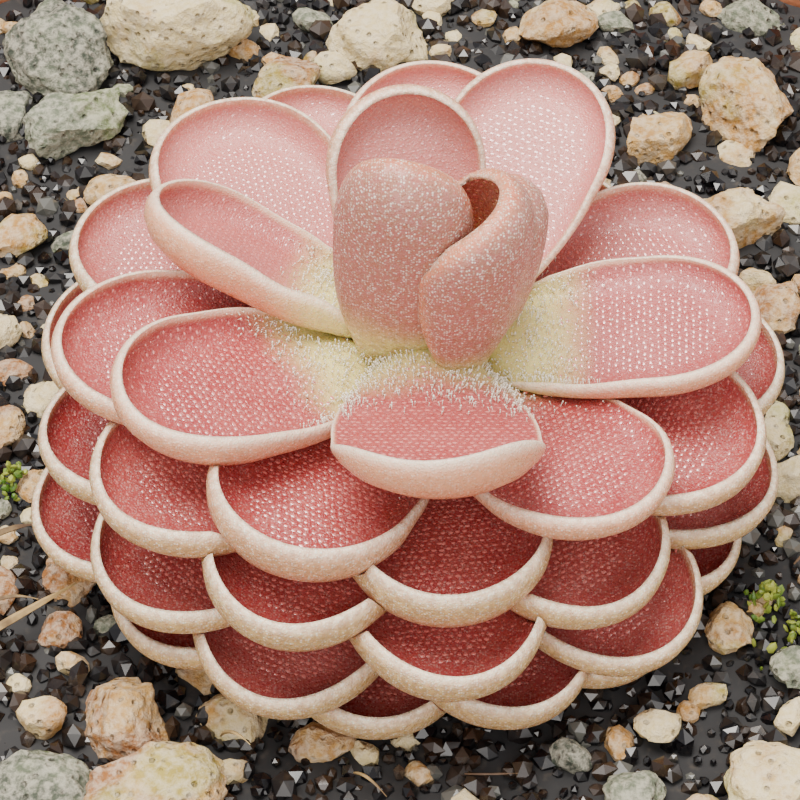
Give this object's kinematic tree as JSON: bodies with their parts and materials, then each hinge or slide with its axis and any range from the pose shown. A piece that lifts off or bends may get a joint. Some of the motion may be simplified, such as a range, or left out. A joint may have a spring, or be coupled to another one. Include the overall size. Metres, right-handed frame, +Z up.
{
  "type": "potted butterwort",
  "caption": "Small carnivorous rosette of stacked spoon-shaped leaves in gritty mineral soil, in a plain round clay pot with a drain hole.",
  "frame": {"origin": "middle of the pot's foot, on the surface that it stands on", "axes": "+Z up along the pot's axis, -Y towards the viewer of the picture, +X to the viewer's right"},
  "size_m": [0.103, 0.103, 0.0918],
  "materials": {
    "clay": "unglazed fired clay, matt",
    "grit": "mineral grit, pumice and dark sand",
    "leaf": "fleshy leaf, rose pink with cream rims, dewy"
  },
  "bodies": {
    "root": {"pot": "clay", "soil": "grit", "rosette": "leaf"}
  },
  "joints": []
}
